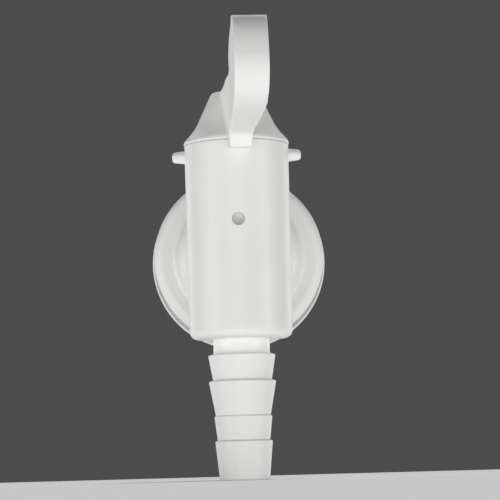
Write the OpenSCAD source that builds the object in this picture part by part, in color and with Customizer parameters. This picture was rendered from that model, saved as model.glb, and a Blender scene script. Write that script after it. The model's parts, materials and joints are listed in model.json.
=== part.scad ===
/* [Barrel] */
// Outside diameter of the upright valve barrel at its rim
barrel_d = 26; // [24:0.5:30]
// Diameter that the barrel loses from rim to floor, for mould draft
barrel_draft = 0.4; // [0:0.1:0.8]
// Height of the barrel rim above the inlet axis
rim_z = 26.2; // [25:0.1:30]
// Depth of the barrel's underside below the inlet axis
floor_z = 22.1; // [20:0.1:26]
// Wall thickness of the barrel
barrel_wall = 2.5; // [2:0.1:3]
// Distance from the wall-side face of the flange to the barrel's axis
barrel_reach = 22.5; // [20:0.5:30]
// Diameter of the air hole in the barrel's front
vent_d = 3.2; // [2:0.1:4]
// Height of the air hole above the inlet axis
vent_z = 6.6; // [4:0.1:10]

/* [Stop pins] */
// Diameter of a stop pin where it leaves the barrel
pin_root_d = 3.5; // [3:0.1:4]
// Diameter of a stop pin at its end
pin_tip_d = 2.7; // [2:0.1:3]
// Distance from the barrel's axis to the end of a stop pin
pin_reach = 16.1; // [16:0.1:18]
// Height of the stop pins above the inlet axis
pin_z = 23.6; // [22:0.1:24]

/* [Hose tail] */
// Diameter of the bore through the hose tail
outlet_d = 9.6; // [8:0.1:10]
// Diameter of the plain neck under the barrel
neck_d = 14; // [13:0.1:15]
// Depth of the open end below the inlet axis
tail_z = 57; // [50:0.5:70]

/* [Inlet stem and flange] */
// Outside diameter of the thread on the stem, three-quarter inch pipe size
stem_d = 26.44; // [25:0.01:28]
// Pitch of that thread
thread_pitch = 1.814; // [1.5:0.001:2.5]
// Depth of that thread
thread_depth = 1.162; // [0.9:0.001:1.3]
// Length of the stem behind the flange
stem_len = 27; // [24:0.5:32]
// Diameter of the bore in the stem
inlet_d = 19; // [16:0.5:20]
// Diameter of the port between the stem and the plug
port_d = 10; // [8:0.5:11]
// Outside diameter of the flange
flange_d = 43.6; // [40:0.2:48]
// Thickness of the flange
flange_t = 3.5; // [3:0.1:5]
// Diameter of the round boss in front of the flange
boss_d = 32.4; // [30:0.2:34]

/* [Lever] */
// Angle of the lever from straight ahead, towards +X
lever_turn = 3.9; // [-70:0.1:70]
// Height of the flat top of the cap above the inlet axis
cap_top_z = 39.5; // [38:0.1:41]
// Diameter of the flat top of the cap
cap_top_d = 12.5; // [11:0.1:13]
// Distance that the lever's nose reaches from the barrel's axis
lever_reach = 56.9; // [50:0.1:60]
// Thickness of the walls left beside the core pocket in the lever's top
lever_wall = 1.7; // [1.4:0.1:2]

/* [Nut and washers] */
// Outside diameter of the nut's pressure flange
nut_d = 45.4; // [42:0.5:48]
// Distance from the flange to the nut, as assembled
nut_gap = 12.35; // [9:0.05:14]
// Outside diameter of the sealing washers
washer_d = 38; // [34:0.5:40]
// Thickness of the sealing washers
washer_t = 2; // [1.5:0.1:2.5]

/* [Hidden] */
$fn = 96;
eps = 0.01;

// Clearances: a turning fit, a loose slide, and the gap under the cap
turn_gap = 0.05;
slide_gap = 0.28;
lift_gap = 0.2;

// Barrel bore and the plug that turns in it
bore_r = barrel_d / 2 - barrel_wall;
bore_floor = -floor_z + barrel_wall;
plug_r = bore_r - turn_gap;
plug_wall = 2.4;
plug_bottom = bore_floor + lift_gap;
plug_top = rim_z - 0.6;
plug_roof = 2.4;
snap_z = 22.6;
snap_half = 0.8;
snap_bead = 0.3;
snap_groove = 0.4;

// O-rings, as squeezed into their grooves
ring_zs = [17.2, -14.8];
ring_groove = 1.35;
ring_groove_half = 0.95;
ring_t = ring_groove + turn_gap - 0.04;

// Square post that carries the lever's turn into the plug
post_w = 8;
post_top = rim_z + 8;
post_fit = 0.04;

// Rest angles of the plug's two air holes, each side of the lever
stop_angle = 72.5;
plug_vent_d = 2.8;

// Cap: the flared foot runs from the lip to the straight cone
cap_z = rim_z + lift_gap;
lip_r = barrel_d / 2 + 0.2;
flare_top = [9.2, rim_z + 6.4];
flare_turn = [10.35, rim_z + 3.75];
cap_pocket_z = rim_z + 4.4;

// Lever heights are measured up from the rim level
lever_z0 = rim_z + 0.4;
foot_in = barrel_d / 2 + 0.4;
foot_out = 16.2;
foot_drop = 2.9;

// Stem, boss and flange
stem_r = stem_d / 2;
boss_front = 9.2;
boss_round = 3.6;
rim_round = 2.2;
inlet_end = 8;

nut_len = 9.2;
nut_plate = 2.8;
nut_hub_d = 34;
nut_lugs = 8;
nut_lug_w = 3.4;
nut_lug_r = 20.6;

// Points of an arc, and of a curve that leaves a towards b and arrives at c
function arc(centre, r, from, to, steps = 6) =
    [for (i = [0 : steps]) centre + r * [cos(from + (to - from) * i / steps), sin(from + (to - from) * i / steps)]];
function bend(a, b, c, steps = 6) =
    [for (i = [0 : steps]) let (t = i / steps) (1 - t) * (1 - t) * a + 2 * t * (1 - t) * b + t * t * c];

// Stands its children on the barrel's axis, upright
module on_barrel() {
    translate([0, -barrel_reach, 0]) children();
}

// Turns its children's Z axis onto +Y, the way into the vessel
module along_inlet() {
    rotate([-90, 0, 0]) children();
}

// A revolved solid from an outline of [radius, height] points
module turned(points) {
    rotate_extrude() polygon(points);
}

// Each barb is [height of crest, crest radius, height of its lower edge, radius there]
barbs = [
    [-26.2, 8.32, -32.1, 7.3],
    [-32.7, 8.32, -40.75, 6.8],
    [-41.4, 7.15, -46.85, 6.5],
    [-47.5, 7.1, -55.9, 6.3]
];

module barrel_and_tail() {
    r_top = barrel_d / 2;
    r_low = r_top - barrel_draft / 2;
    corner = 2;
    tip_chamfer = 0.8;
    turned(concat(
        [[0, rim_z], [r_top - 0.3, rim_z], [r_top, rim_z - 0.3]],
        arc([r_low - corner, -floor_z + corner], corner, 0, -90),
        [[neck_d / 2 + 0.4, -floor_z], [neck_d / 2, -floor_z - 0.4], [neck_d / 2, barbs[0][0] + 0.85]],
        [for (b = barbs) each [[b[1] - 0.15, b[0] + 0.12], [b[1], b[0] - 0.1], [b[3], b[2]]]],
        [[barbs[3][3] - tip_chamfer, -tail_z], [0, -tail_z]]
    ));
}

module stop_pin() {
    root = barrel_d / 2 - 1;
    tip = pin_tip_d / 2;
    round_end = 0.9;
    translate([0, 0, pin_z]) rotate([0, 90, 0]) turned(concat(
        [[0, root], [pin_root_d / 2, root]],
        arc([tip - round_end, pin_reach - round_end], round_end, 0, 90, 4),
        [[0, pin_reach]]
    ));
}

// Flange with a shallow dished front, and the round boss that joins it to the barrel
module flange_and_boss() {
    r = flange_d / 2;
    boss_r = boss_d / 2;
    along_inlet() turned(concat(
        [[0, 0], [r - 0.6, 0], [r, -0.6]],
        arc([r - rim_round, -flange_t + rim_round], rim_round, 0, -90),
        bend([r - rim_round, -flange_t], [boss_r + 2, -flange_t + 0.1], [boss_r, -flange_t + 0.8], 4),
        [[boss_r - 0.05, -boss_front + boss_round]],
        arc([boss_r - 0.05 - boss_round, -boss_front + boss_round], boss_round, 0, -90),
        [[0, -boss_front]]
    ));
    along_inlet() translate([0, 0, -barrel_reach]) cylinder(r = bore_r + 1.9, h = barrel_reach - 1);
}

// Ring ridges of the thread's own depth and pitch stand for the helix
module stem() {
    lead = 1.5;
    along_inlet() difference() {
        turned([[0, -eps], [stem_r, -eps], [stem_r, stem_len - lead], [stem_r - lead, stem_len], [0, stem_len]]);
        for (i = [1 : floor((stem_len - lead) / thread_pitch)]) {
            y = i * thread_pitch;
            turned([
                [stem_r + eps, y - 0.75], [stem_r - thread_depth, y - 0.15],
                [stem_r - thread_depth, y + 0.15], [stem_r + eps, y + 0.75]
            ]);
        }
    }
}

module tap_body() {
    color("white") difference() {
        union() {
            on_barrel() {
                barrel_and_tail();
                stop_pin();
                mirror([1, 0, 0]) stop_pin();
            }
            flange_and_boss();
            stem();
        }
        on_barrel() {
            translate([0, 0, bore_floor]) cylinder(r = bore_r, h = rim_z - bore_floor + 1);
            turned([
                [bore_r - 1, snap_z - snap_half - 0.5], [bore_r, snap_z - snap_half - 0.5],
                [bore_r + snap_groove, snap_z - snap_half], [bore_r + snap_groove, snap_z + snap_half],
                [bore_r, snap_z + snap_half + 0.5], [bore_r - 1, snap_z + snap_half + 0.5]
            ]);
            translate([0, 0, -tail_z - 1]) cylinder(d = outlet_d, h = tail_z);
            translate([0, 0, vent_z]) rotate([90, 0, 0]) cylinder(d = vent_d, h = barrel_d);
        }
        along_inlet() {
            translate([0, 0, -inlet_end]) cylinder(d = inlet_d, h = stem_len + inlet_end + 1);
            translate([0, 0, -barrel_reach]) cylinder(d = port_d, h = barrel_reach);
        }
    }
}

// Hollow plug, open below, with a side port that faces the stem when the lever points ahead
module valve_plug() {
    color("whitesmoke") on_barrel() rotate([0, 0, lever_turn]) difference() {
        union() {
            turned([
                [0, plug_bottom], [plug_r - 0.5, plug_bottom], [plug_r, plug_bottom + 0.5],
                [plug_r, snap_z - snap_half], [plug_r + snap_bead, snap_z - 0.3],
                [plug_r + snap_bead, snap_z + 0.3], [plug_r, snap_z + snap_half],
                [plug_r, plug_top - 0.3], [plug_r - 0.3, plug_top], [0, plug_top]
            ]);
            translate([-post_w / 2, -post_w / 2, plug_top - 1]) cube([post_w, post_w, post_top - plug_top + 1]);
        }
        translate([0, 0, plug_bottom - 1])
            cylinder(r = plug_r - plug_wall, h = plug_top - plug_roof - plug_bottom + 1);
        for (z = ring_zs) turned([
            [plug_r + 1, z - ring_groove_half], [plug_r - ring_groove, z - ring_groove_half],
            [plug_r - ring_groove, z + ring_groove_half], [plug_r + 1, z + ring_groove_half]
        ]);
        rotate([-90, 0, 0]) cylinder(d = port_d, h = barrel_d);
        for (side = [-1, 1]) translate([0, 0, vent_z]) rotate([90, 0, side * stop_angle])
            cylinder(d = plug_vent_d, h = barrel_d);
    }
}

module o_ring(z) {
    color("#26272a") on_barrel() translate([0, 0, z]) rotate_extrude()
        translate([(plug_r - ring_groove + bore_r) / 2, 0]) circle(d = ring_t, $fn = 32);
}

// Side view of the lever as [distance from the barrel's axis, height]
function lever_outline() = concat(
    [[5, lever_z0 + 0.3], [foot_in, lever_z0 + 0.3], [foot_in, lever_z0 - foot_drop]],
    [[foot_out, lever_z0 - foot_drop]],
    bend([17.4, lever_z0 - 0.6], [18, lever_z0 + 0.3], [19.4, lever_z0 + 0.35], 3),
    bend([39.2, lever_z0 + 1], [48, lever_z0 + 1.2], [52.6, lever_z0 + 3.6], 4),
    bend([53.4, lever_z0 + 4.1], [lever_reach + 0.4, lever_z0 + 7], [lever_reach, lever_z0 + 12.5], 5),
    bend([lever_reach - 0.3, lever_z0 + 13.6], [55.2, lever_z0 + 17.5], [51.7, lever_z0 + 22.2], 4),
    arc([50.8, lever_z0 + 21.8], 0.9, 35, 150, 4),
    bend([49.4, lever_z0 + 21.4], [45.4, lever_z0 + 19.6], [43.2, lever_z0 + 16.5], 4),
    bend([42.6, lever_z0 + 15.6], [40, lever_z0 + 11.6], [32.7, lever_z0 + 11.7], 5),
    [[5, lever_z0 + 12.6]]
);

// Half the lever's width at stations along it: [distance, at its lowest level, at its highest level]
cheeks = [[4, 2.6, 5.1], [18, 2.6, 5.1], [39, 3.2, 4.8], [49, 3.84, 4.2], [58, 4.1, 3.95]];
cheek_low = lever_z0 - 4;
cheek_high = lever_z0 + 25;

// A long body between the two cheeks, made narrower by thin on each side
module cheek_body(thin) {
    n = len(cheeks);
    corners = [for (c = cheeks) each [
        [-c[1] + thin, -c[0], cheek_low], [c[1] - thin, -c[0], cheek_low],
        [c[2] - thin, -c[0], cheek_high], [-c[2] + thin, -c[0], cheek_high]
    ]];
    sides = [for (i = [0 : n - 2]) for (k = [0 : 3]) let (
        a = 4 * i + k, b = 4 * i + (k + 1) % 4, c = b + 4, d = a + 4
    ) each [[a, c, b], [a, d, c]]];
    polyhedron(corners, concat([[0, 1, 2, 3]], sides, [[for (k = [3 : -1 : 0]) 4 * (n - 1) + k]]));
}

// Extrudes a side view across the lever, which points along -Y
module across_lever(points) {
    rotate([90, 0, -90]) linear_extrude(24, center = true) polygon(points);
}

module lever_arm() {
    intersection() {
        across_lever(lever_outline());
        cheek_body(0);
    }
}

// Core pocket open at the top of the arm, parted by one cross rib
module lever_pocket() {
    floor = lever_z0 + 2.8;
    deck = lever_z0 + 14;
    intersection() {
        union() {
            across_lever([[15, deck], [15, floor], [25.4, floor], [25.4, deck]]);
            across_lever([[27, deck], [27, floor + 0.2], [34.5, floor + 0.6], [38.5, deck]]);
        }
        cheek_body(lever_wall);
    }
}

module lever_cap() {
    color("white") on_barrel() rotate([0, 0, lever_turn]) difference() {
        union() {
            turned(concat(
                [[0, cap_z], [lip_r - 0.3, cap_z], [lip_r, cap_z + 0.3], [lip_r - 0.1, cap_z + 0.8]],
                bend([lip_r - 0.4, cap_z + 1.2], flare_turn, flare_top),
                [[cap_top_d / 2 + 0.2, cap_top_z - 0.6], [cap_top_d / 2 - 0.4, cap_top_z], [0, cap_top_z]]
            ));
            lever_arm();
        }
        // Ring-shaped core pocket under the cap, and the socket for the post
        turned([
            [7.2, cap_z - 1], [10.9, cap_z - 1], [10.9, cap_z], [8.8, cap_pocket_z], [7.2, cap_pocket_z]
        ]);
        translate([-post_w / 2 - post_fit, -post_w / 2 - post_fit, cap_z - 1])
            cube([post_w + 2 * post_fit, post_w + 2 * post_fit, post_top - cap_z + 1 + lift_gap]);
        lever_pocket();
    }
}

// Flat washer from y upwards, with softened edges
module washer(y) {
    soft = 0.25;
    inner = stem_r + slide_gap;
    outer = washer_d / 2;
    translate([0, y, 0]) along_inlet() turned([
        [inner, soft], [inner + soft, 0], [outer - soft, 0], [outer, soft],
        [outer, washer_t - soft], [outer - soft, washer_t], [inner + soft, washer_t], [inner, washer_t - soft]
    ]);
}

module front_washer() {
    color("gainsboro") washer(0);
}

module rear_washer() {
    color("gainsboro") washer(nut_gap - turn_gap - washer_t);
}

module back_nut() {
    plate_r = nut_d / 2;
    hub_r = nut_hub_d / 2;
    color("white") translate([0, nut_gap, 0]) along_inlet() difference() {
        union() {
            turned(concat(
                [[0, 0], [plate_r - 0.6, 0], [plate_r, 0.6]],
                arc([plate_r - 1, nut_plate - 1], 1, 0, 90, 4),
                [[hub_r + 0.8, nut_plate], [hub_r, nut_plate + 0.8]],
                arc([hub_r - 0.8, nut_len - 0.8], 0.8, 0, 90, 4),
                [[0, nut_len]]
            ));
            for (i = [0 : nut_lugs - 1]) rotate([0, 0, i * 360 / nut_lugs])
                translate([hub_r - 2, -nut_lug_w / 2, nut_plate - 1])
                    cube([nut_lug_r - hub_r + 2, nut_lug_w, nut_len - nut_plate]);
        }
        translate([0, 0, -1]) cylinder(r = stem_r + turn_gap, h = nut_len + 2);
    }
}

tap_body();
valve_plug();
lever_cap();
o_ring(ring_zs[0]);  // upper_o_ring
o_ring(ring_zs[1]);  // lower_o_ring
front_washer();
rear_washer();
back_nut();
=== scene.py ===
import json
import math

import bpy
from mathutils import Euler, Matrix, Vector


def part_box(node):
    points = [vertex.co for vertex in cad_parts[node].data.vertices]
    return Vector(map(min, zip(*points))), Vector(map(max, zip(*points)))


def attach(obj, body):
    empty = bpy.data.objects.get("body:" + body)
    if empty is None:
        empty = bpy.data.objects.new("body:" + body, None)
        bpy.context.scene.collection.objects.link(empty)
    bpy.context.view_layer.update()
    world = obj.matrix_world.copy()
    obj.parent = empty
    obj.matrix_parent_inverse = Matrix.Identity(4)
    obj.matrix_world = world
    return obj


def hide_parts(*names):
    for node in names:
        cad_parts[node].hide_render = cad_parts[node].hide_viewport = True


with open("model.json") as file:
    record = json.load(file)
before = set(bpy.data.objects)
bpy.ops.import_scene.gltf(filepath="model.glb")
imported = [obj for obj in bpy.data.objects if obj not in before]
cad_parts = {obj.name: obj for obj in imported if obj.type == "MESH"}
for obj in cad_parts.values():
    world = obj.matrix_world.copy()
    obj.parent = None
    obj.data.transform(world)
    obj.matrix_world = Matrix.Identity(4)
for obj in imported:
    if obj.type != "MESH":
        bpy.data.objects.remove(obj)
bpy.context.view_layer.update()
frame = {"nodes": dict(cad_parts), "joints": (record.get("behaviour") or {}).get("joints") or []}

bl_info = {
    "name": "Barbed lever tap",
    "version": (1, 0, 0),
    "blender": (4, 5, 0),
    "location": "View3D > Sidebar > Tap",
    "description": "Models a moulded lever tap with a hose tail around its packed frame",
    "category": "Mesh",
}

MM = 0.001
JOINTS = {joint["name"]: joint for joint in frame["joints"]}
LEVER_JOINT = JOINTS["lever_turn"]

# The frame's own places: the upright valve axis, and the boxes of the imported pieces
VALVE = Vector(LEVER_JOINT["pos_m"])
BODY_LOW, BODY_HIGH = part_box("tap_body")
NUT_LOW, NUT_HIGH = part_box("back_nut")
RIM_Z = BODY_HIGH.z
TAIL_Z = BODY_LOW.z
BARREL_R = VALVE.y - BODY_LOW.y
FLANGE_R = BODY_HIGH.x
STEM_LEN = BODY_HIGH.y
# The stops stand the same angle each side of straight ahead, so the rest angle is what they differ by
REST_TURN = -math.radians(sum(LEVER_JOINT["range_deg"]) / 2)


# ---------------------------------------------------------------- settings

class TapBodySettings(bpy.types.PropertyGroup):
    barrel_draft: bpy.props.FloatProperty(
        name="Barrel draft", description="Radius that the barrel loses from rim to floor",
        default=0.2 * MM, min=0, max=0.5 * MM, unit="LENGTH")
    outlet_radius: bpy.props.FloatProperty(
        name="Outlet radius", description="Radius of the bore through the hose tail",
        default=4.8 * MM, min=4 * MM, max=5.2 * MM, unit="LENGTH")
    vent_radius: bpy.props.FloatProperty(
        name="Air hole radius", description="Radius of the air hole in the barrel's front",
        default=1.6 * MM, min=1 * MM, max=2 * MM, unit="LENGTH")
    thread_radius: bpy.props.FloatProperty(
        name="Thread radius", description="Radius over the crests of the stem's thread",
        default=13.22 * MM, min=12.5 * MM, max=14 * MM, unit="LENGTH")
    thread_pitch: bpy.props.FloatProperty(
        name="Thread pitch", description="Distance between turns of the stem's thread",
        default=1.814 * MM, min=1.5 * MM, max=2.5 * MM, unit="LENGTH")


class LeverSettings(bpy.types.PropertyGroup):
    wall: bpy.props.FloatProperty(
        name="Wall", description="Wall left beside the core pockets in the lever's top",
        default=1.7 * MM, min=1.4 * MM, max=2 * MM, unit="LENGTH")
    reach: bpy.props.FloatProperty(
        name="Reach", description="From the valve axis to the lever's outermost point",
        default=56.9 * MM, min=55 * MM, max=57 * MM, unit="LENGTH")
    edge: bpy.props.FloatProperty(
        name="Edge radius", description="Rounding of the lever's long edges",
        default=0.35 * MM, min=0.1 * MM, max=1.5 * MM, unit="LENGTH")
    voxel: bpy.props.FloatProperty(
        name="Blend size", description="Grid on which the lever and the cap are blended into one moulding",
        default=0.26 * MM, min=0.25 * MM, max=0.6 * MM, unit="LENGTH")


class NutSettings(bpy.types.PropertyGroup):
    lugs: bpy.props.IntProperty(
        name="Lugs", description="Finger lugs around the nut", default=8, min=4, max=12)
    clearance: bpy.props.FloatProperty(
        name="Thread clearance", description="Gap between the nut's thread and the stem's",
        default=0.07 * MM, min=0.05 * MM, max=0.15 * MM, unit="LENGTH")


class FinishSettings(bpy.types.PropertyGroup):
    polypropylene: bpy.props.StringProperty(
        name="Polypropylene", description="sRGB colour of the white mouldings", default="#F4F4F2")
    silicone: bpy.props.StringProperty(
        name="Silicone", description="sRGB colour of the sealing washers", default="#D9D8D2")
    nitrile: bpy.props.StringProperty(
        name="Nitrile rubber", description="sRGB colour of the O-rings", default="#26272A")


class StageSettings(bpy.types.PropertyGroup):
    distance: bpy.props.FloatProperty(
        name="Camera distance", description="From the camera to the valve axis",
        default=0.57, min=0.3, max=2, unit="LENGTH")
    eye_height: bpy.props.FloatProperty(
        name="Eye height", description="Height of the camera above the inlet axis",
        default=-0.056, min=-0.056, max=0.3, unit="LENGTH")
    swing: bpy.props.FloatProperty(
        name="Swing", description="Angle of the camera to the left of straight ahead",
        default=math.radians(0.55), min=-0.5, max=0.5, subtype="ANGLE")
    roll: bpy.props.FloatProperty(
        name="Roll", description="Turn of the camera about its line of sight",
        default=math.radians(1.55), min=-0.1, max=0.1, subtype="ANGLE")
    lens: bpy.props.FloatProperty(
        name="Lens", description="Focal length in millimetres on a 36 mm sensor",
        default=165.4, min=35, max=300)
    floor_colour: bpy.props.StringProperty(
        name="Floor", description="sRGB colour of the studio floor", default="#DADADA")


SETTINGS = {
    "tap_body_settings": TapBodySettings, "lever_settings": LeverSettings,
    "nut_settings": NutSettings, "finish_settings": FinishSettings, "stage_settings": StageSettings,
}


# ---------------------------------------------------------------- modelling by hand

def deselect():
    if bpy.context.object and bpy.context.object.mode != "OBJECT":
        bpy.ops.object.mode_set(mode="OBJECT")
    bpy.ops.object.select_all(action="DESELECT")


def take(obj):
    deselect()
    obj.select_set(True)
    bpy.context.view_layer.objects.active = obj
    return obj


def edit(obj):
    take(obj)
    bpy.ops.object.mode_set(mode="EDIT")
    bpy.ops.mesh.select_all(action="SELECT")


def finish_edit():
    bpy.ops.mesh.select_all(action="SELECT")
    bpy.ops.mesh.remove_doubles(threshold=0.002 * MM)
    bpy.ops.mesh.normals_make_consistent(inside=False)
    bpy.ops.object.mode_set(mode="OBJECT")


def arc(centre, radius, start, end, steps=6):
    """Points of an arc in an outline, in millimetres and degrees."""
    turns = [math.radians(start + (end - start) * i / steps) for i in range(steps + 1)]
    return [(centre[0] + radius * math.cos(t), centre[1] + radius * math.sin(t)) for t in turns]


def bend(a, b, c, steps=6):
    """Points of a curve that leaves a towards b and arrives at c."""
    points = []
    for i in range(steps + 1):
        t = i / steps
        points.append(tuple(
            (1 - t) ** 2 * p + 2 * t * (1 - t) * q + t * t * r for p, q, r in zip(a, b, c)))
    return points


def even(points, step=1.6):
    """Adds points along an outline's straight stretches, so that no face of a turned skin is long."""
    spaced = points[:1]
    for (a, b), (c, d) in zip(points, points[1:]):
        parts = max(1, math.ceil(math.hypot(c - a, d - b) / step))
        spaced += [(a + (c - a) * i / parts, b + (d - b) * i / parts) for i in range(1, parts + 1)]
    return spaced


def draw(name, points):
    """Draws an outline of (across, up) points in millimetres, one vertex after another, in the XZ plane."""
    places = [Vector((across * MM, 0, up * MM)) for across, up in points]
    deselect()
    bpy.ops.mesh.primitive_plane_add(size=MM)
    obj = bpy.context.object
    obj.name = obj.data.name = name
    bpy.ops.object.mode_set(mode="EDIT")
    bpy.ops.mesh.merge(type="CENTER")
    bpy.ops.transform.translate(value=places[0])
    for here, there in zip(places, places[1:]):
        bpy.ops.mesh.extrude_vertices_move(TRANSFORM_OT_translate={"value": there - here})
    bpy.ops.object.mode_set(mode="OBJECT")
    return obj


def place(obj, at=(0, 0, 0), turn=(0, 0, 0)):
    """Turns an object about the origin, moves it, and leaves the place in its mesh."""
    take(obj)
    obj.rotation_euler = Euler(turn)
    obj.location = at
    bpy.ops.object.transform_apply(location=True, rotation=True, scale=True)
    return obj


ALONG_INLET = (-math.pi / 2, 0, 0)


def lathe(name, points, at=(0, 0, 0), turn=(0, 0, 0), steps=128):
    """Spins an outline of (radius, height) points about the upright axis."""
    obj = draw(name, even(points))
    edit(obj)
    bpy.ops.mesh.spin(steps=steps, angle=math.tau, center=(0, 0, 0), axis=(0, 0, 1))
    finish_edit()
    return place(obj, at, turn)


def slab(name, points, thickness):
    """Closes and fills an outline and pulls it out to a thickness in metres, centred on its plane."""
    obj = draw(name, points + points[:1])
    edit(obj)
    bpy.ops.mesh.remove_doubles(threshold=0.002 * MM)
    bpy.ops.mesh.edge_face_add()
    bpy.ops.transform.translate(value=(0, -thickness / 2, 0))
    bpy.ops.mesh.extrude_region_move(TRANSFORM_OT_translate={"value": (0, thickness, 0)})
    finish_edit()
    return obj


def apply_modifier(obj, kind, **settings):
    take(obj)
    bpy.ops.object.modifier_add(type=kind)
    modifier = obj.modifiers[-1]
    for key, value in settings.items():
        setattr(modifier, key, value)
    bpy.ops.object.modifier_apply(modifier=modifier.name)
    return obj


def carve(obj, operation, *tools):
    """Joins, cuts or crosses an object with tools, which are used up."""
    for tool in tools:
        apply_modifier(obj, "BOOLEAN", operation=operation, solver="MANIFOLD", object=tool)
        bpy.data.objects.remove(tool)
    return obj


def soften(obj, width, segments=3, angle=30):
    return apply_modifier(
        obj, "BEVEL", width=width, segments=segments, limit_method="ANGLE",
        angle_limit=math.radians(angle), use_clamp_overlap=True, miter_outer="MITER_ARC")


def shade(obj, angle=35):
    """Smooths the skin except across edges sharper than angle, and lets the large faces lead."""
    take(obj)
    bpy.ops.object.shade_smooth_by_angle(angle=math.radians(angle))
    return apply_modifier(obj, "WEIGHTED_NORMAL", weight=60, keep_sharp=True)


def helix(name, crest, root, base, crest_half, root_half, pitch, start, length):
    """A right-handed thread ridge about the upright axis, with filled ends, in millimetres."""
    outline = [
        (base, -root_half), (root, -root_half),
        (crest - 0.12, -crest_half - 0.05), (crest, -crest_half + 0.08),
        (crest, crest_half - 0.08), (crest - 0.12, crest_half + 0.05),
        (root, root_half), (base, root_half),
    ]
    obj = draw(name, [(across, up + start) for across, up in outline + outline[:1]])
    edit(obj)
    bpy.ops.mesh.remove_doubles(threshold=0.002 * MM)
    apply_modifier(
        obj, "SCREW", axis="Z", angle=math.tau, screw_offset=pitch * MM,
        iterations=math.ceil(length / pitch), steps=72, render_steps=72, use_normal_calculate=True)
    edit(obj)
    bpy.ops.mesh.select_all(action="DESELECT")
    bpy.ops.mesh.select_non_manifold()
    bpy.ops.mesh.fill_holes(sides=0)
    finish_edit()
    return obj


# ---------------------------------------------------------------- materials

def linear(hexcode):
    """An sRGB hex colour as linear RGBA."""
    values = [int(hexcode.lstrip("#")[i:i + 2], 16) / 255 for i in (0, 2, 4)]
    return [v / 12.92 if v <= 0.04045 else ((v + 0.055) / 1.055) ** 2.4 for v in values] + [1.0]


def scaled(colour, share):
    return [min(1.0, v * share) for v in colour[:3]] + [1.0]


def add_node(tree, kind, settings=None, links=None):
    """Adds a node, sets its sockets or properties, and links its inputs from other nodes' outputs."""
    node = tree.nodes.new(kind)
    for key, value in (settings or {}).items():
        if isinstance(key, str) and hasattr(node, key) and key not in node.inputs:
            setattr(node, key, value)
        else:
            node.inputs[key].default_value = value
    for key, source in (links or {}).items():
        tree.links.new(source, node.inputs[key])
    return node


def new_material(name):
    material = bpy.data.materials.new(name)
    material.use_nodes = True
    material.node_tree.nodes.clear()
    return material, material.node_tree


# Pattern scales: a noise node's scale is how many of its cells fit in a metre
GRAIN_MM = 0.35
FLOW_MM = 7
CLOUD_MM = 22


def cells_per_metre(size_mm):
    return 1 / (size_mm * MM)


def moulded_polypropylene(name, hexcode, age=1.0):
    """Injection-moulded homopolymer polypropylene, natural white.
    It reads as a soft satin with a little light passing into it. The spark-eroded mould leaves a very fine
    grain, finer than shows here, so it is drawn at a third of a millimetre. Melt flow leaves faint waves in
    the gloss, and a faint random cloud makes the tone a little darker in places."""
    material, tree = new_material(name)
    place_node = add_node(tree, "ShaderNodeTexCoord")
    where = place_node.outputs["Object"]
    grain = add_node(tree, "ShaderNodeTexNoise", {
        "Scale": cells_per_metre(GRAIN_MM), "Detail": 3.0, "Roughness": 0.6}, {"Vector": where})
    flow = add_node(tree, "ShaderNodeTexNoise", {
        "Scale": cells_per_metre(FLOW_MM), "Detail": 2.0, "Roughness": 0.45, "Distortion": 0.6},
        {"Vector": where})
    cloud = add_node(tree, "ShaderNodeTexNoise", {
        "Scale": cells_per_metre(CLOUD_MM), "Detail": 4.0, "Roughness": 0.55}, {"Vector": where})
    base = linear(hexcode)
    tone = add_node(tree, "ShaderNodeValToRGB", links={"Fac": cloud.outputs["Fac"]})
    tone.color_ramp.elements[0].position = 0.3
    tone.color_ramp.elements[0].color = scaled(base, 1 - 0.035 * age)
    tone.color_ramp.elements[1].position = 0.7
    tone.color_ramp.elements[1].color = base
    gloss = add_node(tree, "ShaderNodeMapRange", {
        "From Min": 0.3, "From Max": 0.7, "To Min": 0.36, "To Max": 0.46}, {"Value": flow.outputs["Fac"]})
    fine = add_node(tree, "ShaderNodeBump", {"Strength": 0.1, "Distance": 0.03 * MM}, {
        "Height": grain.outputs["Fac"]})
    wave = add_node(tree, "ShaderNodeBump", {"Strength": 0.22, "Distance": 0.12 * MM}, {
        "Height": flow.outputs["Fac"], "Normal": fine.outputs["Normal"]})
    surface = add_node(tree, "ShaderNodeBsdfPrincipled", {
        "IOR": 1.49, "Metallic": 0.0, "Subsurface Weight": 0.18, "Subsurface Scale": 1.2 * MM,
        "Subsurface Radius": (1.0, 0.95, 0.88)}, {
        "Base Color": tone.outputs["Color"], "Roughness": gloss.outputs["Result"],
        "Normal": wave.outputs["Normal"]})
    add_node(tree, "ShaderNodeOutputMaterial", links={"Surface": surface.outputs["BSDF"]})
    return material


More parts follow.
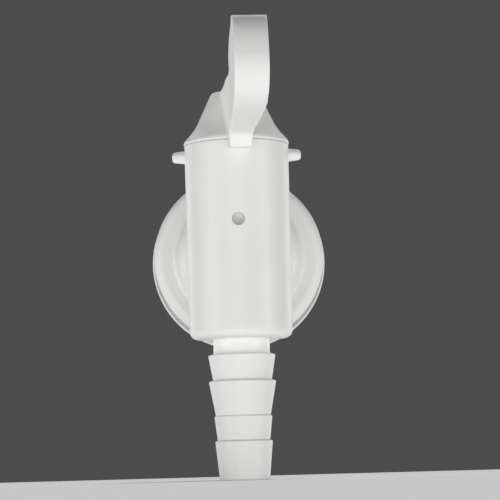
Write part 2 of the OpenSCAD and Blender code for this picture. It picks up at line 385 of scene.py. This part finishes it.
def moulded_silicone(name, hexcode):
    """Compression-moulded food-grade silicone rubber: matt, slightly clouded, with a dusty bloom."""
    material, tree = new_material(name)
    where = add_node(tree, "ShaderNodeTexCoord").outputs["Object"]
    bloom = add_node(tree, "ShaderNodeTexNoise", {
        "Scale": cells_per_metre(4), "Detail": 5.0, "Roughness": 0.6}, {"Vector": where})
    pores = add_node(tree, "ShaderNodeTexNoise", {
        "Scale": cells_per_metre(0.4), "Detail": 2.0, "Roughness": 0.5}, {"Vector": where})
    base = linear(hexcode)
    tone = add_node(tree, "ShaderNodeValToRGB", links={"Fac": bloom.outputs["Fac"]})
    tone.color_ramp.elements[0].position = 0.35
    tone.color_ramp.elements[0].color = scaled(base, 0.9)
    tone.color_ramp.elements[1].position = 0.65
    tone.color_ramp.elements[1].color = base
    rough = add_node(tree, "ShaderNodeMapRange", {"To Min": 0.55, "To Max": 0.75}, {
        "Value": bloom.outputs["Fac"]})
    skin = add_node(tree, "ShaderNodeBump", {"Strength": 0.25, "Distance": 0.05 * MM}, {
        "Height": pores.outputs["Fac"]})
    surface = add_node(tree, "ShaderNodeBsdfPrincipled", {
        "IOR": 1.41, "Subsurface Weight": 0.2, "Subsurface Scale": 1.5 * MM,
        "Sheen Weight": 0.1, "Sheen Roughness": 0.5}, {
        "Base Color": tone.outputs["Color"], "Roughness": rough.outputs["Result"],
        "Normal": skin.outputs["Normal"]})
    add_node(tree, "ShaderNodeOutputMaterial", links={"Surface": surface.outputs["BSDF"]})
    return material


def moulded_nitrile(name, hexcode):
    """Moulded nitrile rubber with a film of food-grade grease: near black, with soft greasy patches."""
    material, tree = new_material(name)
    where = add_node(tree, "ShaderNodeTexCoord").outputs["Object"]
    grease = add_node(tree, "ShaderNodeTexNoise", {
        "Scale": cells_per_metre(2.5), "Detail": 3.0, "Roughness": 0.5}, {"Vector": where})
    skin = add_node(tree, "ShaderNodeTexNoise", {
        "Scale": cells_per_metre(0.3), "Detail": 2.0, "Roughness": 0.5}, {"Vector": where})
    base = linear(hexcode)
    tone = add_node(tree, "ShaderNodeValToRGB", links={"Fac": grease.outputs["Fac"]})
    tone.color_ramp.elements[0].color = scaled(base, 0.8)
    tone.color_ramp.elements[1].color = scaled(base, 1.25)
    rough = add_node(tree, "ShaderNodeMapRange", {
        "From Min": 0.35, "From Max": 0.65, "To Min": 0.28, "To Max": 0.5}, {"Value": grease.outputs["Fac"]})
    bumps = add_node(tree, "ShaderNodeBump", {"Strength": 0.2, "Distance": 0.03 * MM}, {
        "Height": skin.outputs["Fac"]})
    surface = add_node(tree, "ShaderNodeBsdfPrincipled", {"IOR": 1.52}, {
        "Base Color": tone.outputs["Color"], "Roughness": rough.outputs["Result"],
        "Normal": bumps.outputs["Normal"]})
    add_node(tree, "ShaderNodeOutputMaterial", links={"Surface": surface.outputs["BSDF"]})
    return material


def studio_floor(name, hexcode):
    """Painted studio floor: flat, pale and even, with a faint mottle from the roller."""
    material, tree = new_material(name)
    where = add_node(tree, "ShaderNodeTexCoord").outputs["Object"]
    mottle = add_node(tree, "ShaderNodeTexNoise", {
        "Scale": cells_per_metre(60), "Detail": 2.0}, {"Vector": where})
    base = linear(hexcode)
    tone = add_node(tree, "ShaderNodeValToRGB", links={"Fac": mottle.outputs["Fac"]})
    tone.color_ramp.elements[0].color = scaled(base, 0.99)
    tone.color_ramp.elements[1].color = base
    surface = add_node(tree, "ShaderNodeBsdfPrincipled", {"Roughness": 0.9, "Specular IOR Level": 0.0}, {
        "Base Color": tone.outputs["Color"]})
    add_node(tree, "ShaderNodeOutputMaterial", links={"Surface": surface.outputs["BSDF"]})
    return material


def dress(obj, material):
    """Gives an object one material in place of any it has."""
    obj.data.materials.clear()
    obj.data.materials.append(material)


# ---------------------------------------------------------------- outlines, in millimetres

BARREL = BARREL_R / MM
RIM = RIM_Z / MM
FLOOR = -22.1
WALL = 2.5
BORE = BARREL - WALL
BORE_FLOOR = FLOOR + WALL
TAIL = TAIL_Z / MM
NECK = 7
FLANGE = FLANGE_R / MM
STEM = STEM_LEN / MM
INLET = 9.5
INLET_FLOOR = -8
PORT = 5
AXIS = VALVE.y / MM
AIR_HOLE = 6.6
PIN_REACH, PIN_LEVEL = 16.1, 23.6

# The pipe thread's ridge: its depth, and half its width at the crest and at the root
THREAD_DEPTH, THREAD_CREST, THREAD_ROOT = 1.162, 0.16, 0.78
# Faces around small turned shapes, where the large ones have 128
FINE_STEPS = 48

# Each barb: height of its crest, radius there, height of its lower edge, radius there
BARBS = [
    (-26.2, 8.32, -32.1, 7.3), (-32.7, 8.32, -40.75, 6.8),
    (-41.4, 7.15, -46.85, 6.5), (-47.5, 7.1, -55.9, 6.3),
]


def barrel_outline(draft):
    """The barrel and the hose tail as one solid, from the rim's middle to the open end's middle."""
    corner = 2
    low = BARREL - draft
    points = [(0, RIM)] + arc((BARREL - 0.15, RIM - 0.15), 0.15, 90, 0, 3)
    points += arc((low - corner, FLOOR + corner), corner, 0, -90, 8)
    points += bend((NECK + 0.8, FLOOR), (NECK, FLOOR), (NECK, FLOOR - 0.8), 4)
    for i, (crest_z, crest_r, low_z, low_r) in enumerate(BARBS):
        above = BARBS[i - 1][3] if i else NECK
        points += [(above, crest_z + (0.85 if i == 0 else 0.32))]
        points += bend((above + 0.1, crest_z + (0.3 if i == 0 else 0.26)), (crest_r, crest_z + 0.2),
                       (crest_r, crest_z - 0.15), 4)
    points += arc((BARBS[-1][3] - 0.8, TAIL + 0.75), 0.75, 0, -90, 5)
    return points + [(0, TAIL)]


def boss_outline():
    """The flange with its dished front and the round boss, as radius and place along the inlet."""
    thick, rim_round, boss = 3.5, 2.2, 16.2
    front, boss_round = 9.2, 3.6
    stem, overlap = 12.06, 0.02
    points = [(0, overlap), (stem, overlap), (stem, 0)] + arc((FLANGE - 0.6, -0.6), 0.6, 90, 0, 4)
    points += arc((FLANGE - rim_round, -thick + rim_round), rim_round, 0, -90, 8)
    points += bend((FLANGE - rim_round - 0.2, -thick), (boss + 2.8, -thick + 0.1),
                   (boss + 1.9, -thick + 0.22), 4)
    points += bend((boss + 1.1, -thick + 0.3), (boss + 0.05, -thick + 0.35), (boss, -thick - 1.3), 7)
    points += arc((boss - 0.05 - boss_round, -front + boss_round), boss_round, 0, -90, 10)
    return points + [(0, -front)]


# ---------------------------------------------------------------- the operators

class TAP_OT_body(bpy.types.Operator):
    """Models the tap's body: barrel, stop pins, boss, flange, threaded stem and barbed hose tail"""
    bl_idname = "tap.body"
    bl_label = "Tap body"

    def execute(self, context):
        size = context.scene.tap_body_settings
        finish = context.scene.finish_settings
        thread = size.thread_radius / MM
        root = thread - THREAD_DEPTH
        body = lathe("moulded_tap_body", barrel_outline(size.barrel_draft / MM), VALVE)
        boss = lathe("boss", boss_outline(), turn=ALONG_INLET)
        neck = lathe("neck", [(0, AXIS), (BORE + 1.9, AXIS), (BORE + 1.9, -4), (0, -4)],
                     turn=ALONG_INLET)
        stem = lathe("stem", [(0, -1), (root, -1), (root, STEM - 1.5), (root - 1.2, STEM), (0, STEM)],
                     turn=ALONG_INLET)
        carve(body, "UNION", neck, boss, stem, self.thread(thread, root, size.thread_pitch / MM),
              self.pin(1), self.pin(-1))
        carve(body, "DIFFERENCE", *self.hollows(size.outlet_radius / MM, size.vent_radius / MM))
        shade(body)
        dress(body, moulded_polypropylene("polypropylene_body", finish.polypropylene))
        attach(body, "tap")
        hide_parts("tap_body")
        return {"FINISHED"}

    def thread(self, crest, root, pitch):
        """The helix, crossed with the stem's own outline so that it fades into the lead chamfer."""
        ridge = helix("thread", crest, root, root - 0.5, THREAD_CREST, THREAD_ROOT, pitch, pitch, STEM)
        envelope = lathe("envelope", [
            (0, 0.9), (root - 0.2, 0.9), (crest + 0.02, 1.9), (crest + 0.02, STEM - 1.6),
            (root - 0.3, STEM - 0.15), (0, STEM - 0.15)])
        return place(carve(ridge, "INTERSECT", envelope), turn=ALONG_INLET)

    def pin(self, side):
        """A tapered stop pin with a rounded end."""
        start, foot, tip, rounding = BARREL - 1, 1.75, 0.45, 0.9
        points = [(0, start), (foot, start)] + arc((tip, PIN_REACH - rounding), rounding, 0, 90, 6)
        return lathe("pin", points + [(0, PIN_REACH)], VALVE + Vector((0, 0, PIN_LEVEL * MM)),
                     (0, side * math.pi / 2, 0), FINE_STEPS)

    def hollows(self, outlet, vent):
        """Everything the core pins leave open."""
        groove = [(BORE + 0.4, 21.8), (BORE + 0.4, 23.4), (BORE, 23.9)]
        bore = lathe("bore", [(0, BORE_FLOOR), (BORE, BORE_FLOOR), (BORE, 21.3)] + groove
                     + [(BORE, RIM - 0.4), (BORE + 0.4, RIM), (BORE + 0.4, RIM + 1), (0, RIM + 1)], VALVE)
        out = lathe("out", [
            (0, TAIL - 1), (outlet + 0.3, TAIL - 1), (outlet + 0.3, TAIL), (outlet, TAIL + 0.3),
            (outlet, BORE_FLOOR + 1), (0, BORE_FLOOR + 1)], VALVE)
        air = lathe("air", [
            (0, BORE - 2), (vent, BORE - 2), (vent, BARREL - 0.2), (vent + 0.25, BARREL + 0.05),
            (vent + 0.25, BARREL + 1), (0, BARREL + 1)],
            VALVE + Vector((0, 0, AIR_HOLE * MM)), (math.pi / 2, 0, 0), FINE_STEPS)
        inlet = lathe("inlet", [
            (0, INLET_FLOOR), (INLET, INLET_FLOOR), (INLET, STEM - 0.4), (INLET + 0.4, STEM),
            (INLET + 0.4, STEM + 1), (0, STEM + 1)], turn=ALONG_INLET)
        port = lathe("port", [(0, AXIS), (PORT, AXIS), (PORT, 0), (0, 0)], turn=ALONG_INLET)
        return bore, out, air, inlet, port


class TAP_OT_lever(bpy.types.Operator):
    """Models the cone cap and its lever as one blended moulding"""
    bl_idname = "tap.lever"
    bl_label = "Lever and cap"

    # Half widths of the arm at distances from the valve axis, at the lowest and the highest level
    cheeks = [(4, 2.6, 5.1), (18, 2.6, 5.1), (39, 3.2, 4.8), (49, 3.84, 4.2), (58, 4.1, 3.95)]
    level = RIM + 0.4

    def execute(self, context):
        size = context.scene.lever_settings
        finish = context.scene.finish_settings
        cap = lathe("moulded_lever_cap", self.cap_outline())
        arm = carve(self.side_view(self.arm_outline(size.reach / MM)), "INTERSECT", self.cheek_block(0))
        soften(arm, size.edge, 4, 50)
        carve(cap, "UNION", arm)
        carve(cap, "DIFFERENCE", *self.hollows(size.wall / MM))
        self.melt_together(cap, size.voxel)
        place(cap, VALVE, (0, 0, REST_TURN))
        dress(cap, moulded_polypropylene("polypropylene_lever", finish.polypropylene))
        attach(cap, "valve")
        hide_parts("lever_cap")
        return {"FINISHED"}

    def cap_outline(self):
        lip, bottom, top = BARREL + 0.2, RIM + 0.1, 39.5
        points = [(0, bottom), (lip - 0.15, bottom), (lip, bottom + 0.2), (lip - 0.1, bottom + 0.8)]
        points += bend((lip - 0.4, RIM + 1.4), (10.35, RIM + 3.75), (9.2, RIM + 6.4), 10)
        return points + arc((5.6, top - 0.6), 0.6, 20, 90, 4) + [(0, top)]

    def arm_outline(self, reach):
        z = self.level
        foot_in, foot_out, drop = BARREL + 0.4, 16.2, 2.9
        points = [(5, z + 0.3), (foot_in, z + 0.3), (foot_in, z - drop), (foot_out, z - drop)]
        points += bend((17.4, z - 0.6), (18, z + 0.3), (19.4, z + 0.35), 4)
        points += bend((39.2, z + 1), (48, z + 1.2), (52.6, z + 3.6), 8)
        points += bend((53.4, z + 4.1), (reach + 0.4, z + 7), (reach, z + 12.5), 8)
        points += bend((reach - 0.2, z + 13.6), (55.7, z + 20.2), (51.2, z + 22.5), 9)
        points += arc((50.7, z + 21.7), 0.95, 62, 150, 5)
        points += bend((49.4, z + 21.4), (45.4, z + 19.6), (43.2, z + 16.5), 6)
        points += bend((42.6, z + 15.6), (40, z + 11.6), (32.7, z + 11.7), 8)
        return points + [(5, z + 12.6)]

    def side_view(self, points):
        """A slab across the lever from its side view, with distance from the axis pointing along -Y."""
        return place(slab("side", points, 24 * MM), turn=(0, 0, -math.pi / 2))

    def cheek_block(self, thin):
        """A long block whose sides are the arm's cheeks: pulled out station by station, thinned by thin."""
        low, high = self.level - 4, self.level + 25
        deselect()
        bpy.ops.mesh.primitive_plane_add(size=1)
        block = bpy.context.object
        block.name = "cheeks"
        place(block, turn=(math.pi / 2, 0, 0))
        before = (0, 1, 1)
        for i, (reach, low_half, high_half) in enumerate(self.cheeks):
            edit(block)
            if i:
                self.pick(block, lambda co, y=-before[0] * MM: abs(co.y - y) < 1e-7)
                bpy.ops.mesh.extrude_region_move(
                    TRANSFORM_OT_translate={"value": (0, (before[0] - reach) * MM, 0)})
            else:
                bpy.ops.transform.resize(value=(MM, 1, (high - low) * MM), center_override=(0, 0, 0))
                bpy.ops.transform.translate(value=(0, -reach * MM, (high + low) / 2 * MM))
            here = -reach * MM
            for level, half, was in ((low, low_half, before[1]), (high, high_half, before[2])):
                self.pick(block, lambda co, z=level * MM: abs(co.y - here) < 1e-7 and abs(co.z - z) < 1e-7)
                width = 2 * (half - thin) / was if i == 0 else (half - thin) / (was - thin)
                bpy.ops.transform.resize(value=(width, 1, 1), center_override=(0, here, level * MM))
            bpy.ops.object.mode_set(mode="OBJECT")
            before = (reach, low_half, high_half)
        edit(block)
        finish_edit()
        return block

    def pick(self, obj, wanted):
        """Selects the vertices at which wanted is true, and the edges and faces between them."""
        bpy.ops.mesh.select_mode(type="VERT")
        bpy.ops.mesh.select_all(action="DESELECT")
        bpy.ops.object.mode_set(mode="OBJECT")
        for vertex in obj.data.vertices:
            vertex.select = wanted(vertex.co)
        bpy.ops.object.mode_set(mode="EDIT")

    def hollows(self, wall):
        """The ring pocket and the square socket under the cap, and the two core pockets in the arm's top."""
        under, post, depth = RIM - 1, 4.04, RIM + 8.2
        ring = lathe("ring", [
            (7.2, under), (10.9, under), (10.9, RIM + 0.2), (8.8, RIM + 4.4), (7.2, RIM + 4.4),
            (7.2, under)])
        bpy.ops.mesh.primitive_cube_add(size=1, location=(0, 0, (under + depth) / 2 * MM),
                                        scale=(2 * post * MM, 2 * post * MM, (depth - under) * MM))
        socket = place(bpy.context.object, bpy.context.object.location)
        floor, deck = self.level + 2.8, self.level + 14
        near = self.side_view([(15, deck), (15, floor), (25.4, floor), (25.4, deck)])
        far = self.side_view([(27, deck), (27, floor + 0.2), (34.5, floor + 0.6), (38.5, deck)])
        pockets = [carve(view, "INTERSECT", self.cheek_block(wall)) for view in (near, far)]
        return [ring, socket] + pockets

    def melt_together(self, obj, voxel):
        """Rebuilds the skin on a fine grid and relaxes it, which rounds every corner as the mould does."""
        apply_modifier(obj, "REMESH", mode="VOXEL", voxel_size=voxel, use_smooth_shade=True)
        apply_modifier(obj, "SMOOTH", factor=0.5, iterations=3)
        take(obj)
        bpy.ops.object.shade_smooth()


class TAP_OT_nut(bpy.types.Operator):
    """Models the back nut with its finger lugs and internal thread"""
    bl_idname = "tap.nut"
    bl_label = "Back nut"

    def execute(self, context):
        size = context.scene.nut_settings
        finish = context.scene.finish_settings
        body = context.scene.tap_body_settings
        thread, pitch = body.thread_radius / MM, body.thread_pitch / MM
        root, gap = thread - THREAD_DEPTH, size.clearance / MM
        start, length = NUT_LOW.y / MM, (NUT_HIGH.y - NUT_LOW.y) / MM
        nut = lathe("moulded_back_nut", self.outline(start, length), steps=144)
        for i in range(size.lugs):
            carve(nut, "UNION", self.lug(start, length, i * math.tau / size.lugs))
        hole = lathe("hole", [(0, start - 1), (thread + 0.4, start - 1), (thread + 0.4, start),
                              (root + 0.1, start + 1.2), (root + 0.1, start + length - 1.2),
                              (thread + 0.2, start + length), (thread + 0.2, start + length + 1),
                              (0, start + length + 1)])
        first = pitch * (math.floor(start / pitch) - 2)
        groove = helix("groove", thread + gap, root + gap, root - 0.4, THREAD_CREST + gap,
                       THREAD_ROOT + gap, pitch, first, length + 5 * pitch)
        carve(nut, "DIFFERENCE", hole, groove)
        place(nut, turn=ALONG_INLET)
        shade(nut)
        dress(nut, moulded_polypropylene("polypropylene_nut", finish.polypropylene))
        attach(nut, "nut")
        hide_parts("back_nut")
        return {"FINISHED"}

    def outline(self, start, length):
        plate, hub, thick = NUT_HIGH.x / MM, 17, 2.8
        # a groove just inside the rim, then the rim's rounded lip
        points = [(0, start), (plate - 2.3, start)] + arc((plate - 2, start + 1.2), 0.3, 180, 90, 3)
        points += arc((plate - 0.8, start + 1.2), 0.3, 90, 0, 3) + [(plate - 0.45, start + 0.05)]
        points += arc((plate - 0.3, start + 0.3), 0.3, -90, 0, 4)
        points += arc((plate - 1.1, start + thick - 1.1), 1.1, 0, 90, 6)
        points += bend((hub + 1.2, start + thick), (hub, start + thick), (hub, start + thick + 1.2), 5)
        points += arc((hub - 0.8, start + length - 0.8), 0.8, 0, 90, 5)
        return points + [(0, start + length)]

    def lug(self, start, length, angle):
        """A finger lug, with softened edges."""
        inner, outer, width, foot = 15, 20.6, 3.4, start + 2
        deselect()
        bpy.ops.mesh.primitive_cube_add(
            size=1, location=((inner + outer) / 2 * MM, 0, (foot + start + length - 0.2) / 2 * MM),
            scale=((outer - inner) * MM, width * MM, (start + length - 0.2 - foot) * MM))
        lug = bpy.context.object
        place(lug, lug.location)
        soften(lug, 0.6 * MM, 3)
        return place(lug, turn=(0, 0, angle))


class TAP_OT_finishes(bpy.types.Operator):
    """Gives the plug, the O-rings and the washers their finishes"""
    bl_idname = "tap.finishes"
    bl_label = "Plug, O-rings and washers"

    def execute(self, context):
        finish = context.scene.finish_settings
        plug = moulded_polypropylene("polypropylene_plug", finish.polypropylene, 1.6)
        silicone = moulded_silicone("silicone_washer", finish.silicone)
        nitrile = moulded_nitrile("nitrile_o_ring", finish.nitrile)
        for node, material in (("valve_plug", plug), ("front_washer", silicone), ("rear_washer", silicone),
                               ("upper_o_ring", nitrile), ("lower_o_ring", nitrile)):
            dress(frame["nodes"][node], material)
        return {"FINISHED"}


class TAP_OT_stage(bpy.types.Operator):
    """Sets the floor, the soft lights and the camera"""
    bl_idname = "tap.stage"
    bl_label = "Studio"

    def execute(self, context):
        stage = context.scene.stage_settings
        floor = self.floor(stage.floor_colour)
        self.surroundings(context)
        self.floor_light(floor)
        self.lights(self.lit_group("all_but_floor", floor, "EXCLUDE"))
        self.camera(context, stage)
        return {"FINISHED"}

    def floor(self, hexcode):
        """A wide round floor under the hose tail."""
        deselect()
        bpy.ops.mesh.primitive_circle_add(vertices=96, radius=6, fill_type="NGON", location=(0, 0, TAIL_Z))
        floor = bpy.context.object
        floor.name = "studio_floor"
        place(floor, floor.location)
        floor.visible_shadow = False    # light from the box under the table passes through
        dress(floor, studio_floor("painted_floor", hexcode))
        return floor

    def floor_light(self, floor):
        """A wide soft light from overhead that falls on the floor alone, with the tap's shadow in it."""
        bpy.ops.object.light_add(type="SUN", rotation=(math.radians(-12), math.radians(8), 0))
        light = bpy.context.object
        light.name = "floor_light"
        light.data.energy = 2.4
        light.data.angle = math.radians(30)
        light.light_linking.receiver_collection = self.lit_group("floor_only", floor, "INCLUDE")

    def lit_group(self, name, floor, state):
        """A group for a light: the floor and nothing else, or everything but the floor."""
        group = bpy.data.collections.new(name)
        group.objects.link(floor)
        group.collection_objects[0].light_linking.link_state = state
        return group

    def surroundings(self, context):
        """A dim even grey around the set, and the plain view transform, which keeps the whites apart."""
        world = bpy.data.worlds.new("studio")
        world.use_nodes = True
        back = world.node_tree.nodes["Background"]
        back.inputs["Color"].default_value = linear("#DDDEE0")
        back.inputs["Strength"].default_value = 0.1
        context.scene.world = world
        context.scene.view_settings.view_transform = "Standard"

    def soft_box(self, group, name, at, size, power):
        """A rectangular soft light, wide and high as size says, that faces the tap and isn't seen itself."""
        bpy.ops.object.light_add(type="AREA", location=at)
        light = bpy.context.object
        light.name = name
        light.data.shape = "RECTANGLE"
        light.data.size, light.data.size_y = size
        light.data.energy = power
        light.visible_camera = False
        light.light_linking.receiver_collection = group
        light.rotation_euler = (Vector((0, VALVE.y, -0.01)) - Vector(at)).to_track_quat("-Z", "Y").to_euler()

    # Each soft box: its name, place, width and height in metres, and power in watts
    soft_boxes = [
        ("table_soft_box", (0, -0.75, -0.42), (1.1, 0.5), 2.5),
        ("front_soft_box", (-0.08, -0.9, -0.005), (0.6, 0.1), 0.62),
        ("overhead_soft_box", (0, 0.65, 0.65), (0.8, 0.5), 3.2),
        ("side_soft_box", (-0.6, -0.3, -0.005), (0.45, 0.1), 1.2),
        ("back_soft_box", (-0.55, 0.6, 0.06), (0.4, 0.3), 0.7),
        ("side_soft_box", (0.6, -0.3, -0.005), (0.45, 0.1), 1.2),
        ("back_soft_box", (0.55, 0.6, 0.06), (0.4, 0.3), 0.7),
    ]

    def lights(self, group):
        """A large soft box under the shooting table, low ones around it and one above and behind."""
        for name, at, size, power in self.soft_boxes:
            self.soft_box(group, name, at, size, power)

    def camera(self, context, stage):
        """Looks a little up at the barrel from below, with a slight roll."""
        aim_aside = 2.74 * MM
        aim = Vector((aim_aside, VALVE.y, 0))
        eye = Vector((aim.x - stage.distance * math.tan(stage.swing), VALVE.y - stage.distance,
                      stage.eye_height))
        bpy.ops.object.camera_add(location=eye)
        camera = bpy.context.object
        camera.name = "studio_camera"
        camera.data.lens = stage.lens
        camera.data.sensor_width = 36
        camera.data.clip_start = 0.01
        look = (aim - eye).to_track_quat("-Z", "Y").to_matrix()
        camera.rotation_euler = (look @ Matrix.Rotation(-stage.roll, 3, "Z")).to_euler()
        context.scene.camera = camera


OPERATORS = [TAP_OT_body, TAP_OT_lever, TAP_OT_nut, TAP_OT_finishes, TAP_OT_stage]


class TAP_PT_panel(bpy.types.Panel):
    """Lists the tap's settings and the operators that build it"""
    bl_idname = "TAP_PT_panel"
    bl_label = "Barbed lever tap"
    bl_space_type = "VIEW_3D"
    bl_region_type = "UI"
    bl_category = "Tap"

    def draw(self, context):
        for name, group in SETTINGS.items():
            settings = getattr(context.scene, name)
            box = self.layout.box()
            for key in group.__annotations__:
                box.prop(settings, key)
        for operator in OPERATORS:
            self.layout.operator(operator.bl_idname)


CLASSES = [*SETTINGS.values(), *OPERATORS, TAP_PT_panel]


def register():
    for cls in CLASSES:
        bpy.utils.register_class(cls)
    for name, group in SETTINGS.items():
        setattr(bpy.types.Scene, name, bpy.props.PointerProperty(type=group))


def unregister():
    for name in SETTINGS:
        delattr(bpy.types.Scene, name)
    for cls in reversed(CLASSES):
        bpy.utils.unregister_class(cls)


def main():
    register()
    bpy.ops.tap.body()
    bpy.ops.tap.lever()
    bpy.ops.tap.nut()
    bpy.ops.tap.finishes()
    bpy.ops.tap.stage()
    deselect()


if __name__ == "__main__":
    main()
